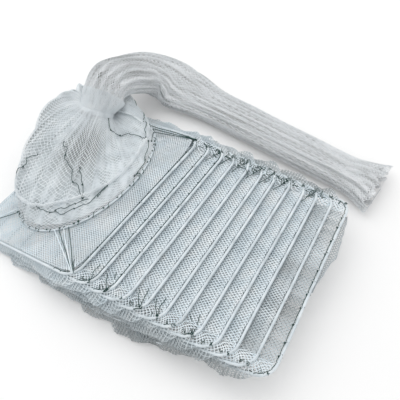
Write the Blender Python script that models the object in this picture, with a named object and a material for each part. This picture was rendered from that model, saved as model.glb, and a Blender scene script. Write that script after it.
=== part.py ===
"""Folding fish trap, folded flat.

Coated wire frames lie shingled along +X, each leaning on the next like a fallen domino. Netting
joins them and green twine ties it to the wires. An oval hoop lies on the first frame, and a long net
sleeve is gathered out of the hoop and laid along the frames' far side.
Metres, +Z up, X along the trap, Y along the frames' long rods.
"""

import math

import bmesh
import bpy
from mathutils import Matrix, Vector

# Frames
FRAME_COUNT = 12
FRAME_LENGTH = 0.320  # between the centres of the short sides
FRAME_WIDTH = 0.220  # between the centres of the long rods
CORNER_RADIUS = 0.024
WIRE_DIAMETER = 0.0042
LEAN = math.radians(14)
FOLDED_PITCH = 0.026  # between neighbouring frames when folded
PITCH_WANDER = 0.09  # the share by which the pitch varies along the stack
PITCH_WANDER_STEP = 2.1  # radians of that variation from one frame to the next
PITCH_WANDER_START = 0.6
FAN_FIRST = math.radians(-2.5)  # the first and last frames' turns about the vertical
FAN_LAST = math.radians(6)

# Oval hoop and its netting cone
HOOP_TO_LOWER_ROD = 0.011  # these four are between the wires' centres, in the first frame's plane
HOOP_TO_UPPER_ROD = 0.033
HOOP_TO_NEAR_SIDE = 0.040
HOOP_TO_FAR_SIDE = 0.008
HOOP_WIRE_DIAMETER = 0.0036
HOOP_LIFT = 0.0095  # above the first frame's wire centres
THROAT_SQUARENESS = 8.0  # how squarely the ring of netting from hoop to frame ends at the frame
CONE_DRAW = 0.030  # how far below the neck the cone turns into the sleeve's direction
CONE_FOLDS = 8
CONE_FOLD_DEPTH = 0.05  # share of the distance from the cone's middle line

# Green lacing
TWINE_DIAMETER = 0.0010
TWINE_GAP = 0.0003  # between the wire and the twine round it
FRAME_LACING_TURNS = 5
HOOP_LACING_TURNS = 8
LACING_TO_SHORT_SIDE = 0.038  # where the lacing on an upper rod starts and ends

# Netting
NET_THICKNESS = 0.0010
NET_GAP = 0.0004
STRIP_GAPS = 10  # holes along each strip between two upper rods
STRAND_WIDTH = 0.0022
END_GAPS_ALONG = 10
END_GAPS_ACROSS = 6
END_NET_DROP = 0.006  # keeps the end net clear of the last bay's netting at the upper rod
END_NET_SQUARENESS = 6  # how late the end net's edge starts to round its corners
END_NET_GAP = 0.0006  # from the last frame's wire to the end net's edge
SIDE_NET_GAP = 0.0006  # from a wire to the netting beside it, where no lacing runs
GUSSET_BULGE = 0.015  # how far the pleated sides stand out between two frames
GUSSET_WANDER = 0.15  # the share by which that varies from pleat to pleat
SWING_POWER = 1.4  # how soon the netting's edge swings over the wire on its way round a corner
STAY_POWER = 2  # how soon its other edge reaches the angle at which it leaves the short side

# Sleeve
NECK_RADIUS = 0.027
NECK_HEIGHT = 0.084
NECK_FROM_LOWER_ROD = 0.044
NECK_FROM_SHORT_SIDE = 0.048  # the neck's centre lies this far inside the frame's far short side
SLEEVE_OFFSET = 0.096  # from the frame's short side to the sleeve's middle, where it lies on the floor
SLEEVE_RUN = 0.360  # the straight stretch along the frames
SLEEVE_BODY_HALF_WIDTH = 0.037
SLEEVE_BEND_HALF_WIDTH = 0.049
SLEEVE_MOUTH_HALF_WIDTH = 0.050
SLEEVE_HALF_HEIGHT = 0.019
SLEEVE_FOLDS = 9
SLEEVE_FOLD_DEPTH = 0.07  # share of the half width
SLEEVE_FOLD_START = 4  # stations from the neck until the folds have their full depth
SLEEVE_DRIFT = 0.016  # how far the sleeve nears the frames along its run
SLEEVE_MOUTH_FLATNESS = 0.9  # the mouth's height as a share of the sleeve's

# The sleeve's turn off the neck: distance in x, share of the way out, share of the neck's height,
# then half width and half height in neck radii
SLEEVE_RISE = (
    (0.000, 0.00, 0.80, 1.00, 1.00),
    (-0.002, 0.15, 0.97, 1.15, 0.96),
    (-0.001, 0.34, 1.00, 1.35, 0.94),
    (0.001, 0.57, 0.77, 1.60, 0.90),
)

# Its bend onto the floor: distance in x, share of the way out, lift off the floor, then the share of
# the bend's half width and of the sleeve's half height
SLEEVE_BEND = (
    (0.011, 0.78, 0.024, 1.00, 1.25),
    (0.038, 0.95, 0.008, 1.00, 1.20),
    (0.076, 1.00, 0.001, 0.92, 1.00),
)

# Its run along the frames: share of the run and share of the body's half width
SLEEVE_LIE = ((0.15, 1.04), (0.35, 0.97), (0.60, 1.00), (0.85, 1.05))

# Facets
WIRE_SIDES = 8
CORNER_STEPS = 4
TURN_POINTS = 6  # points in each turn of lacing
HOOP_POINTS = 32  # round the hoop, and round the cone that starts at it
CONE_RINGS = 7
SLEEVE_SIDES = 36
SLEEVE_STATIONS = 26

WIRE_RADIUS = WIRE_DIAMETER / 2
HOOP_WIRE_RADIUS = HOOP_WIRE_DIAMETER / 2
FLAT_HEIGHT = WIRE_RADIUS * math.cos(math.pi / WIRE_SIDES)  # wire centre above its lowest facet
TURN_CHORD = math.cos(math.pi / TURN_POINTS)  # a turn's straight runs pass this near, as a share
LACING_RADIUS = (WIRE_RADIUS + TWINE_GAP + TWINE_DIAMETER / 2) / TURN_CHORD
HOOP_LACING_RADIUS = (HOOP_WIRE_RADIUS + TWINE_GAP + TWINE_DIAMETER / 2) / TURN_CHORD
NET_STANDOFF = LACING_RADIUS + TWINE_DIAMETER / 2 + NET_GAP  # wire centre to a net's edge beside the lacing
HOOP_STANDOFF = HOOP_LACING_RADIUS + TWINE_DIAMETER / 2 + NET_GAP
HALF_LENGTH = FRAME_LENGTH / 2
LACING_HALF_LENGTH = HALF_LENGTH - LACING_TO_SHORT_SIDE
HOOP_LENGTH = FRAME_LENGTH - HOOP_TO_NEAR_SIDE - HOOP_TO_FAR_SIDE
HOOP_WIDTH = FRAME_WIDTH - HOOP_TO_LOWER_ROD - HOOP_TO_UPPER_ROD
HALF_NET = NET_THICKNESS / 2
SIDE_STANDOFF = WIRE_RADIUS + HALF_NET + SIDE_NET_GAP
SIDE_ANGLE = math.radians(25)  # off the frame's plane, where a net leaves the short side

COATING_WHITE = (0.80, 0.86, 0.87, 1.0)
TWINE_GREEN = (0.05, 0.20, 0.17, 1.0)
NET_WHITE = (0.74, 0.79, 0.81, 1.0)


def clear_scene():
    for thing in list(bpy.data.objects):
        bpy.data.objects.remove(thing, do_unlink=True)


def material(name, colour, roughness, metallic=0.0):
    """A Principled material in one colour."""
    made = bpy.data.materials.new(name)
    made.use_nodes = True
    shader = made.node_tree.nodes["Principled BSDF"]
    shader.inputs["Base Color"].default_value = colour
    shader.inputs["Roughness"].default_value = roughness
    shader.inputs["Metallic"].default_value = metallic
    made.diffuse_color = colour
    return made


def add_object(name, data, finish, place=None):
    thing = bpy.data.objects.new(name, data)
    bpy.context.scene.collection.objects.link(thing)
    data.materials.append(finish)
    if place is not None:
        thing.matrix_world = place
    return thing


def mesh_from(name, points, faces):
    mesh = bpy.data.meshes.new(name)
    mesh.from_pydata([tuple(point) for point in points], [], faces)
    mesh.validate()
    return mesh


def face_outwards(mesh):
    shape = bmesh.new()
    shape.from_mesh(mesh)
    bmesh.ops.recalc_face_normals(shape, faces=shape.faces)
    shape.to_mesh(mesh)
    shape.free()


def add_sheet(name, points, faces, finish, thickness=NET_THICKNESS, place=None, smooth=False):
    """A thin closed solid: a surface given thickness on both sides of its faces."""
    mesh = mesh_from(name, points, faces)
    face_outwards(mesh)
    thing = add_object(name, mesh, finish, place)
    wall = thing.modifiers.new("Wall", "SOLIDIFY")
    wall.thickness = thickness
    wall.offset = 0.0
    if smooth:
        mesh.shade_smooth()
    return thing


def rounded_rectangle(length, width, radius, steps):
    """Corner arcs of a rectangle that spans 0 to width in x and is centred in y, anticlockwise."""
    centres = [
        (width - radius, length / 2 - radius, 0.0),
        (radius, length / 2 - radius, 90.0),
        (radius, radius - length / 2, 180.0),
        (width - radius, radius - length / 2, 270.0),
    ]
    points = []
    for x, y, start in centres:
        for step in range(steps + 1):
            angle = math.radians(start + 90.0 * step / steps)
            points.append((x + radius * math.cos(angle), y + radius * math.sin(angle), 0.0))
    return points


def hoop_outline(grow, lift):
    """The hoop's oval in the first frame's own coordinates, grown outwards in its plane by grow."""
    middle_x = HOOP_TO_LOWER_ROD + HOOP_WIDTH / 2
    middle_y = HALF_LENGTH - HOOP_TO_FAR_SIDE - HOOP_LENGTH / 2
    points = []
    for step in range(HOOP_POINTS):
        angle = 2 * math.pi * step / HOOP_POINTS
        x = middle_x + (HOOP_WIDTH / 2 + grow) * math.cos(angle)
        y = middle_y + (HOOP_LENGTH / 2 + grow) * math.sin(angle)
        points.append((x, y, lift))
    return points


def add_wire_loop(name, points, radius, finish, place):
    """A closed loop of round wire, one facet of which faces the floor."""
    curve = bpy.data.curves.new(name, "CURVE")
    curve.dimensions = "3D"
    curve.twist_mode = "Z_UP"
    curve.bevel_depth = radius
    curve.bevel_resolution = WIRE_SIDES // 2 - 2
    spline = curve.splines.new("POLY")
    spline.points.add(len(points) - 1)
    for point, place_on_path in zip(spline.points, points):
        point.co = (*place_on_path, 1.0)
        point.tilt = math.pi / WIRE_SIDES - LEAN
    spline.use_cyclic_u = True
    spline.use_smooth = True
    return add_object(name, curve, finish, place)


def lower_x(index):
    """Where frame number index, counted from 0, has its lower rod."""
    x = 0.0
    for step in range(index):
        wander = PITCH_WANDER * math.sin(PITCH_WANDER_STEP * step + PITCH_WANDER_START)
        x += FOLDED_PITCH * (1 + wander)
    return x


def fan(index):
    return FAN_FIRST + (FAN_LAST - FAN_FIRST) * index / (FRAME_COUNT - 1)


def frame_place(index):
    """Frame coordinates to world: x up the frame from its lower rod, y along it, z off its plane."""
    reach = FRAME_WIDTH / 2 * math.cos(LEAN)
    middle = Matrix.Translation((lower_x(index) + reach, 0.0, FLAT_HEIGHT))
    turn = Matrix.Rotation(fan(index), 4, "Z")
    back = Matrix.Translation((-reach, 0.0, 0.0))
    return middle @ turn @ back @ Matrix.Rotation(-LEAN, 4, "Y")


def frame_name(index):
    return f"frame_{index + 1:02d}"


def make_frames(finish):
    outline = rounded_rectangle(FRAME_LENGTH, FRAME_WIDTH, CORNER_RADIUS, CORNER_STEPS)
    for index in range(FRAME_COUNT):
        add_wire_loop(frame_name(index), outline, WIRE_RADIUS, finish, frame_place(index))


def make_hoop(finish):
    add_wire_loop("tail_hoop", hoop_outline(0.0, HOOP_LIFT), HOOP_WIRE_RADIUS, finish, frame_place(0))


def add_twine(name, points, finish, place, closed=False):
    """A run of thin twine along the given points."""
    curve = bpy.data.curves.new(name, "CURVE")
    curve.dimensions = "3D"
    curve.bevel_depth = TWINE_DIAMETER / 2
    curve.bevel_resolution = 0
    curve.use_fill_caps = True
    spline = curve.splines.new("POLY")
    spline.points.add(len(points) - 1)
    for point, place_on_path in zip(spline.points, points):
        point.co = (*place_on_path, 1.0)
    spline.use_cyclic_u = closed
    return add_object(name, curve, finish, place)


def print_least_gap(name, points, closed=False):
    """Prints how near a winding comes to itself, between points at least half a turn apart."""
    nearest = math.inf
    for first, point in enumerate(points):
        for second in range(first + TURN_POINTS // 2, len(points)):
            if closed and len(points) - second + first < TURN_POINTS // 2:
                continue
            nearest = min(nearest, (Vector(point) - Vector(points[second])).length)
    print(f"{name}: least gap to itself {(nearest - TWINE_DIAMETER) * 1000:.1f} mm")


def make_frame_lacing(finish):
    """Twine wound along each frame's upper rod, which ties the netting to it."""
    count = FRAME_LACING_TURNS * TURN_POINTS + 1
    for index in range(FRAME_COUNT):
        points = []
        for step in range(count):
            angle = 2 * math.pi * step / TURN_POINTS
            x = FRAME_WIDTH + LACING_RADIUS * math.cos(angle)
            y = LACING_HALF_LENGTH * (2 * step / (count - 1) - 1)
            points.append((x, y, LACING_RADIUS * math.sin(angle)))
        name = f"lacing_{index + 1:02d}"
        add_twine(name, points, finish, frame_place(index))
        print_least_gap(name, points)


def make_hoop_lacing(finish):
    """Twine wound round the whole hoop in one closed run."""
    outline = [Vector(point) for point in hoop_outline(0.0, HOOP_LIFT)]
    count = HOOP_LACING_TURNS * TURN_POINTS
    up = Vector((0.0, 0.0, 1.0))
    points = []
    for step in range(count):
        along = HOOP_POINTS * step / count
        before = outline[int(along)]
        after = outline[(int(along) + 1) % HOOP_POINTS]
        middle = before.lerp(after, along - int(along))
        outward = (after - before).cross(up).normalized()
        angle = 2 * math.pi * step / TURN_POINTS
        points.append(middle + (outward * math.cos(angle) + up * math.sin(angle)) * HOOP_LACING_RADIUS)
    add_twine("hoop_lacing", points, finish, frame_place(0), closed=True)
    print_least_gap("hoop_lacing", points, closed=True)


def netted_patch(corners, columns, rows):
    """A four-cornered patch with one diamond hole in each cell of a grid, as points and faces."""
    south_west, south_east, north_west, north_east = [Vector(corner) for corner in corners]

    def at(u, v):
        south = south_west.lerp(south_east, u)
        north = north_west.lerp(north_east, u)
        return south.lerp(north, v)

    cell_u = ((south_east - south_west).length + (north_east - north_west).length) / 2 / columns
    cell_v = ((north_west - south_west).length + (north_east - south_east).length) / 2 / rows
    inset_u = STRAND_WIDTH / 2 / cell_u
    inset_v = STRAND_WIDTH / 2 / cell_v
    points = [at(i / columns, j / rows) for j in range(rows + 1) for i in range(columns + 1)]
    faces = []
    for j in range(rows):
        for i in range(columns):
            sw = j * (columns + 1) + i
            se = sw + 1
            nw = sw + columns + 1
            ne = nw + 1
            south, east, north, west = range(len(points), len(points) + 4)
            points.append(at((i + 0.5) / columns, (j + inset_v) / rows))
            points.append(at((i + 1 - inset_u) / columns, (j + 0.5) / rows))
            points.append(at((i + 0.5) / columns, (j + 1 - inset_v) / rows))
            points.append(at((i + inset_u) / columns, (j + 0.5) / rows))
            faces += [(sw, se, south), (se, east, south), (se, ne, east), (ne, north, east)]
            faces += [(ne, nw, north), (nw, west, north), (nw, sw, west), (sw, south, west)]
    return points, faces


def beside_wire(index, side, at_top, corner_angle, lean, distance):
    """A point off a frame's wire at a corner.

    Lean turns it from straight outwards towards the frame's upper face.
    """
    centre_x = FRAME_WIDTH - CORNER_RADIUS if at_top else CORNER_RADIUS
    centre_y = HALF_LENGTH - CORNER_RADIUS
    reach = CORNER_RADIUS + distance * math.cos(lean)
    x = centre_x + reach * math.cos(corner_angle)
    y = centre_y + reach * math.sin(corner_angle)
    return frame_place(index) @ Vector((x, side * y, distance * math.sin(lean)))


def bay_slats(index, side):
    """Threes of points across the netting, from the upper strip's end to the floor strip's end.

    Round each corner the edge that has to leave its frame's window swings over the wire, and the
    other edge stays outside its own frame.
    """
    slats = []
    for at_top in (True, False):
        for step in range(CORNER_STEPS + 1):
            share = step / CORNER_STEPS
            from_rod = share if at_top else 1 - share
            corner_angle = math.pi / 2 * (share if at_top else 1 + share)
            distance = NET_STANDOFF + (SIDE_STANDOFF - NET_STANDOFF) * from_rod
            swing = math.pi - (math.pi - SIDE_ANGLE) * from_rod**SWING_POWER
            stay = SIDE_ANGLE * from_rod**STAY_POWER
            lean_here, lean_there = (-stay, swing) if at_top else (-swing, stay)
            here = beside_wire(index, side, at_top, corner_angle, lean_here, distance)
            there = beside_wire(index + 1, side, at_top, corner_angle, lean_there, distance)
            wander = 1 - GUSSET_WANDER * (1 - math.sin(2 * index + 2 * side + step))
            stand_out = GUSSET_BULGE * wander * from_rod**STAY_POWER
            slats.append((here, (here + there) / 2 + Vector((0.0, side * stand_out, 0.0)), there))
    return slats


def bay_net(index):
    """One closed band: a holed strip between the upper rods, pleated sides, a strip by the floor."""
    sides = {side: bay_slats(index, side) for side in (-1.0, 1.0)}
    first = {side: slats[0] for side, slats in sides.items()}
    corners = [first[-1.0][0], first[1.0][0], first[-1.0][2], first[1.0][2]]
    points, faces = netted_patch(corners, STRIP_GAPS, 1)
    strip_ends = {-1.0: (0, STRIP_GAPS + 1), 1.0: (STRIP_GAPS, 2 * STRIP_GAPS + 1)}
    floor_ends = []
    for side, slats in sides.items():
        here, there = strip_ends[side]
        start = len(points)
        points += [point for slat in slats[1:] for point in slat]
        faces += [(here, there, start + 1), (here, start + 1, start), (there, start + 2, start + 1)]
        for low in range(start, len(points) - 3, 3):
            high = low + 3
            faces += [(low, low + 1, high + 1, high), (low + 1, low + 2, high + 2, high + 1)]
        floor_ends.append(tuple(range(len(points) - 3, len(points))))
    (a, b, c), (d, e, f) = floor_ends
    faces += [(a, b, e, d), (b, c, f, e)]
    return points, faces


def make_bay_nets(finish):
    for index in range(FRAME_COUNT - 1):
        points, faces = bay_net(index)
        add_sheet(f"bay_net_{index + 1:02d}", points, faces, finish)


def make_throat_net(finish):
    """The flat ring of netting from the hoop out to the first frame."""
    inner = hoop_outline(HOOP_STANDOFF, HOOP_LIFT)
    frame_lift = NET_STANDOFF + HALF_NET
    middle = (FRAME_WIDTH / 2, 0.0)
    half = (FRAME_WIDTH / 2, HALF_LENGTH)
    outer = []
    for x, y, _ in inner:
        dx = (x - middle[0]) / half[0]
        dy = (y - middle[1]) / half[1]
        size = (abs(dx) ** THROAT_SQUARENESS + abs(dy) ** THROAT_SQUARENESS) ** (1 / THROAT_SQUARENESS)
        outer.append((middle[0] + dx / size * half[0], middle[1] + dy / size * half[1], frame_lift))
    count = len(inner)
    faces = []
    for step in range(count):
        after = (step + 1) % count
        faces.append((step, after, count + after, count + step))
    add_sheet("throat_net", inner + outer, faces, finish, place=frame_place(0))


def make_end_net(finish):
    """The flat net that closes the last frame, in its plane, with corners that follow the frame's."""
    edge = WIRE_RADIUS + END_NET_GAP
    low = edge
    high = FRAME_WIDTH - NET_STANDOFF - END_NET_DROP
    end = HALF_LENGTH - edge
    corners = [(low, -end, 0.0), (low, end, 0.0), (high, -end, 0.0), (high, end, 0.0)]
    points, faces = netted_patch(corners, END_GAPS_ALONG, END_GAPS_ACROSS)
    middle = (low + high) / 2
    half = (high - low) / 2
    cut = CORNER_RADIUS * (1 - math.cos(math.pi / 4))
    rounded = []
    for point in points:
        nearness = ((point[0] - middle) / half * point[1] / end) ** END_NET_SQUARENESS
        x = middle + (point[0] - middle) * (1 - cut / half * nearness)
        y = point[1] * (1 - cut / end * nearness)
        rounded.append((x, y, 0.0))
    add_sheet("end_net", rounded, faces, finish, place=frame_place(FRAME_COUNT - 1))


def sleeve_route():
    """The sleeve's middle line with the half width and half height there, from neck to mouth."""
    x = NECK_FROM_LOWER_ROD
    y_neck = HALF_LENGTH - NECK_FROM_SHORT_SIDE
    y_run = HALF_LENGTH + SLEEVE_OFFSET
    reach = y_run - y_neck
    flat = SLEEVE_HALF_HEIGHT
    route = []
    for along, out, height, width, depth in SLEEVE_RISE:
        size = (width * NECK_RADIUS, depth * NECK_RADIUS)
        route.append((x + along, y_neck + out * reach, height * NECK_HEIGHT, *size))
    for along, out, lift, width, depth in SLEEVE_BEND:
        size = (width * SLEEVE_BEND_HALF_WIDTH, depth * flat)
        route.append((x + along, y_neck + out * reach, flat + lift, *size))
    x = route[-1][0]
    for share, width in SLEEVE_LIE:
        drift = SLEEVE_DRIFT * share * share * (3 - 2 * share)
        route.append((x + share * SLEEVE_RUN, y_run - drift, flat, width * SLEEVE_BODY_HALF_WIDTH, flat))
    mouth = flat * SLEEVE_MOUTH_FLATNESS
    route.append((x + SLEEVE_RUN, y_run - SLEEVE_DRIFT, mouth, SLEEVE_MOUTH_HALF_WIDTH, mouth))
    return route


def catmull_rom(rows, count):
    """Rows evenly spaced in parameter along a smooth curve through the given rows."""
    spans = len(rows) - 1
    found = []
    for step in range(count):
        along = spans * step / (count - 1)
        span = min(int(along), spans - 1)
        t = along - span
        quad = [rows[min(max(span + k, 0), spans)] for k in (-1, 0, 1, 2)]
        row = []
        for a, b, c, d in zip(*quad):
            square = 2 * a - 5 * b + 4 * c - d
            cube = 3 * b - a - 3 * c + d
            row.append((2 * b + (c - a) * t + square * t**2 + cube * t**3) / 2)
        found.append(row)
    return found


def sleeve_ring(centre, tangent, half_width, half_height, fold_depth, sides):
    """An oval of points square to the tangent, with shallow lengthwise folds, kept above the floor."""
    across = Vector((0.0, 0.0, 1.0)).cross(tangent).normalized()
    above = tangent.cross(across).normalized()
    ring = []
    for step in range(sides):
        angle = 2 * math.pi * step / sides
        fold = 1 + fold_depth * math.cos(SLEEVE_FOLDS * angle)
        side = math.cos(angle) * half_width * fold
        rise = math.sin(angle) * half_height * fold
        point = centre + across * side + above * rise
        point.z = max(point.z, 0.0)
        ring.append(point)
    return ring


def sleeve_rings():
    rows = catmull_rom(sleeve_route(), SLEEVE_STATIONS)
    centres = [Vector(row[:3]) for row in rows]
    rings = []
    for number, row in enumerate(rows):
        before = centres[max(number - 1, 0)]
        after = centres[min(number + 1, len(rows) - 1)]
        tangent = (after - before).normalized()
        depth = SLEEVE_FOLD_DEPTH * min(1.0, number / SLEEVE_FOLD_START)
        rings.append(sleeve_ring(centres[number], tangent, row[3], row[4], depth, SLEEVE_SIDES))
    return rings


def loft(rings):
    """Quads between neighbouring rings of equal size."""
    sides = len(rings[0])
    points = [point for ring in rings for point in ring]
    faces = []
    for number in range(len(rings) - 1):
        for step in range(sides):
            after = (step + 1) % sides
            low = number * sides
            high = low + sides
            faces.append((low + step, low + after, high + after, high + step))
    return points, faces


def make_sleeve(finish):
    rings = sleeve_rings()
    points, faces = loft(rings)
    last = len(points) - len(rings[0])
    faces.append(tuple(range(len(rings[0]))))
    faces.append(tuple(range(last, len(points))))
    mesh = mesh_from("tail_sleeve", points, faces)
    face_outwards(mesh)
    mesh.shade_smooth()
    add_object("tail_sleeve", mesh, finish)


def make_cone(finish):
    """Netting from the hoop, gathered in folds up to the sleeve's neck."""
    rows = catmull_rom(sleeve_route(), SLEEVE_STATIONS)
    neck = Vector(rows[0][:3])
    tangent = (Vector(rows[1][:3]) - neck).normalized()
    lift = HOOP_LIFT + HOOP_STANDOFF + HALF_NET
    place = frame_place(0)
    base = [place @ Vector(point) for point in hoop_outline(0.0, lift)]
    top_centre = neck - tangent * 2 * NET_GAP
    top_radius = NECK_RADIUS - HALF_NET
    across = Vector((0.0, 0.0, 1.0)).cross(tangent).normalized()
    above = tangent.cross(across).normalized()
    top = []
    for step in range(HOOP_POINTS):
        angle = 2 * math.pi * step / HOOP_POINTS
        spoke = across * math.cos(angle - math.pi) + above * math.sin(angle - math.pi)
        top.append(top_centre + spoke * top_radius)
    middle = sum(base, Vector()) / HOOP_POINTS
    rings = []
    for number in range(CONE_RINGS):
        share = number / (CONE_RINGS - 1)
        centre = middle.lerp(top_centre, share)
        ring = []
        for step in range(HOOP_POINTS):
            guide = top[step] - tangent * CONE_DRAW
            point = base[step] * (1 - share) ** 2 + guide * 2 * share * (1 - share) + top[step] * share**2
            wave = math.cos(2 * math.pi * CONE_FOLDS * step / HOOP_POINTS)
            fold = CONE_FOLD_DEPTH * math.sin(math.pi * share) * wave
            ring.append(point + (point - centre) * fold)
        rings.append(ring)
    points, faces = loft(rings)
    add_sheet("cone_net", points, faces, finish, smooth=True)


def centre_on_footprint():
    """Moves the whole model so that the origin is the middle of its footprint, at the floor."""
    graph = bpy.context.evaluated_depsgraph_get()
    corners = []
    for thing in bpy.data.objects:
        shown = thing.evaluated_get(graph)
        mesh = shown.to_mesh()
        corners += [shown.matrix_world @ vertex.co for vertex in mesh.vertices]
        shown.to_mesh_clear()
    low = [min(corner[axis] for corner in corners) for axis in range(3)]
    high = [max(corner[axis] for corner in corners) for axis in range(3)]
    shift = Matrix.Translation((-(low[0] + high[0]) / 2, -(low[1] + high[1]) / 2, -low[2]))
    for thing in bpy.data.objects:
        thing.matrix_world = shift @ thing.matrix_world


def main():
    clear_scene()
    coating = material("coated_wire", COATING_WHITE, 0.35)
    twine = material("green_twine", TWINE_GREEN, 0.75)
    netting = material("white_netting", NET_WHITE, 0.6)
    make_frames(coating)
    make_hoop(coating)
    make_frame_lacing(twine)
    make_hoop_lacing(twine)
    make_bay_nets(netting)
    make_throat_net(netting)
    make_end_net(netting)
    make_cone(netting)
    make_sleeve(netting)
    bpy.context.view_layer.update()
    centre_on_footprint()


main()
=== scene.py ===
# %% [markdown]
# # A folding fish trap, folded flat
#
# Twelve white-coated wire frames lie on each other like fallen dominoes. Fine white netting joins them, dark
# green twine ties it to the wires, and a long net sleeve runs out of the oval hoop on the first frame and
# back along the frames' far side. The netting is modelled thread by thread, because at this size the eye
# sees its holes, and a painted or transparent sheet would lose them wherever several layers lie together.

# %% Load the frame
import math

import bpy
import numpy as np
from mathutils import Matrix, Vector


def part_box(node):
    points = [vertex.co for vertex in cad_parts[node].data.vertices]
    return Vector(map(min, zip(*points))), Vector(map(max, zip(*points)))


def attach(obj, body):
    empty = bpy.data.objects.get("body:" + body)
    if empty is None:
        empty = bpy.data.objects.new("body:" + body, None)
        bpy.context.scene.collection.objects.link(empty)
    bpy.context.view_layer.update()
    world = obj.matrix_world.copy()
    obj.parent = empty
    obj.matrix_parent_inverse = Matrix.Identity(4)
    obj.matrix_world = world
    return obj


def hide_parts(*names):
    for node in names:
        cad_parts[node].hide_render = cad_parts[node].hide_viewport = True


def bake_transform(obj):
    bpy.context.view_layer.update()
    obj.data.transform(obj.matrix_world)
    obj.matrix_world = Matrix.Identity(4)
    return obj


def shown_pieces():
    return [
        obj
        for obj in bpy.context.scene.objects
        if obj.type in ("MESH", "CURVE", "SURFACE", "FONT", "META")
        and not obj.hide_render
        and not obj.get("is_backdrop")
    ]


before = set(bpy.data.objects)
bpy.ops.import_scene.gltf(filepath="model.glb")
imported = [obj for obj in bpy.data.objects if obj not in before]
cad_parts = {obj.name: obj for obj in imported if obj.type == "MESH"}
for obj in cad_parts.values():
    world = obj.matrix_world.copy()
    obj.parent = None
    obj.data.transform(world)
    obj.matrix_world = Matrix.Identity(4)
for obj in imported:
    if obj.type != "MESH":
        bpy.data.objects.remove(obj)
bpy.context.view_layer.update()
MM = 0.001

# %% [markdown]
# ## Where things are
#
# Every piece hangs on the leaning frames, so it is easiest to work in a frame's own coordinates: x up the
# frame from its lower rod, y along the rod and z off its face. One function turns them into the shared
# coordinates. Each frame's middle is read from the loaded model, and only its lean and turn are written here.

# %% The leaning frames
FRAME_COUNT = sum(name.startswith("frame_") and "body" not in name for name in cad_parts)
FRAME_LENGTH = 320 * MM
FRAME_WIDTH = 220 * MM
CORNER_RADIUS = 24 * MM
WIRE_RADIUS = 2.1 * MM
LEAN = math.radians(14)
FAN_FIRST, FAN_LAST = math.radians(-2.5), math.radians(6)
HALF_LENGTH = FRAME_LENGTH / 2
HALF_ROD = HALF_LENGTH - CORNER_RADIUS  # the straight part of an upper or lower rod, halved
SIDE_ROD = FRAME_WIDTH - 2 * CORNER_RADIUS
QUARTER = CORNER_RADIUS * math.pi / 2
RIM_LENGTH = 4 * HALF_ROD + 2 * SIDE_ROD + 2 * math.pi * CORNER_RADIUS
REST_HEIGHT = WIRE_RADIUS * math.cos(math.pi / 8)


def frame_name(number):
    return f"frame_{number:02d}"


def body_of(number):
    return f"frame_{number:02d}_body"


def on_frame(number, x, y, z=0.0):
    """Points given in a frame's own coordinates: leaned back, then turned about the frame's middle."""
    low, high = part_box(frame_name(number))
    middle = [(low[axis] + high[axis]) / 2 for axis in (0, 1)]
    turn = FAN_FIRST + (FAN_LAST - FAN_FIRST) * (number - 1) / (FRAME_COUNT - 1)
    x, y, z = np.broadcast_arrays(np.asarray(x, float), y, z)
    along = (x - FRAME_WIDTH / 2) * math.cos(LEAN) - z * math.sin(LEAN)
    height = x * math.sin(LEAN) + z * math.cos(LEAN) + REST_HEIGHT
    cos, sin = math.cos(turn), math.sin(turn)
    return np.stack([middle[0] + along * cos - y * sin, middle[1] + along * sin + y * cos, height], axis=-1)


def between(number, x, y, share):
    """The point that lies the given share of the way from a frame's plane to the next one's."""
    share = np.asarray(share)[..., None]
    return on_frame(number, x, y) * (1 - share) + on_frame(number + 1, x, y) * share


def unit(vectors):
    return vectors / np.maximum(np.linalg.norm(vectors, axis=-1, keepdims=True), 1e-12)


def round_from(first, second, angle):
    """A point of a circle: the angle's cosine along the first direction and its sine along the second."""
    return first * np.cos(angle)[..., None] + second * np.sin(angle)[..., None]


def keep_above(points, height):
    points[..., 2] = np.maximum(points[..., 2], height)


def rim(distance, grow=0.0):
    """Follows a frame's wire line: straight rods joined by quarter circles.

    Distance is from the middle of the upper rod. Returns x and y, and the outward direction as an angle.
    """
    half_round = [QUARTER, SIDE_ROD, QUARTER]
    runs = [HALF_ROD, *half_round, 2 * HALF_ROD, *half_round, HALF_ROD]
    marks = np.concatenate([[0], np.cumsum(runs)])
    distance = np.asarray(distance, float) % marks[-1]
    high, low = FRAME_WIDTH - CORNER_RADIUS, CORNER_RADIUS
    centre_x = np.interp(distance, marks, [high, high, high, low, low, low, low, high, high, high])
    centre_y = np.interp(distance, marks, [0, *[HALF_ROD] * 4, *[-HALF_ROD] * 4, 0])
    turned = np.interp(distance, marks, [0, 0, 90, 90, 180, 180, 270, 270, 360, 360])
    angle = np.radians(turned)
    reach = CORNER_RADIUS + grow
    return centre_x + reach * np.cos(angle), centre_y + reach * np.sin(angle), angle


def around_wire(number, line, lift, outward, angle=0.0, reach=0.0):
    """Points at an angle and a reach round a wire, and the directions away from it.

    The line is x and y along the wire's middle. The angle turns from outward, in the frame's plane, to square
    to that plane.
    """
    x, y = line
    middle = on_frame(number, x, y, lift)
    side = unit(on_frame(number, x + np.cos(outward), y + np.sin(outward), lift) - middle)
    normal = unit(on_frame(number, x, y, lift + 1.0) - middle)
    radial = round_from(side, normal, np.broadcast_to(angle, x.shape))
    return middle + radial * np.broadcast_to(reach, x.shape)[:, None], radial


print(f"round a frame: {RIM_LENGTH / MM:.0f} mm")


# %% [markdown]
# ## From arrays to meshes
#
# A surface here is an array of points on a grid. Blender takes such arrays whole with foreach_set, which is
# quick even for a hundred thousand points, where a loop over them would be slow.

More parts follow.
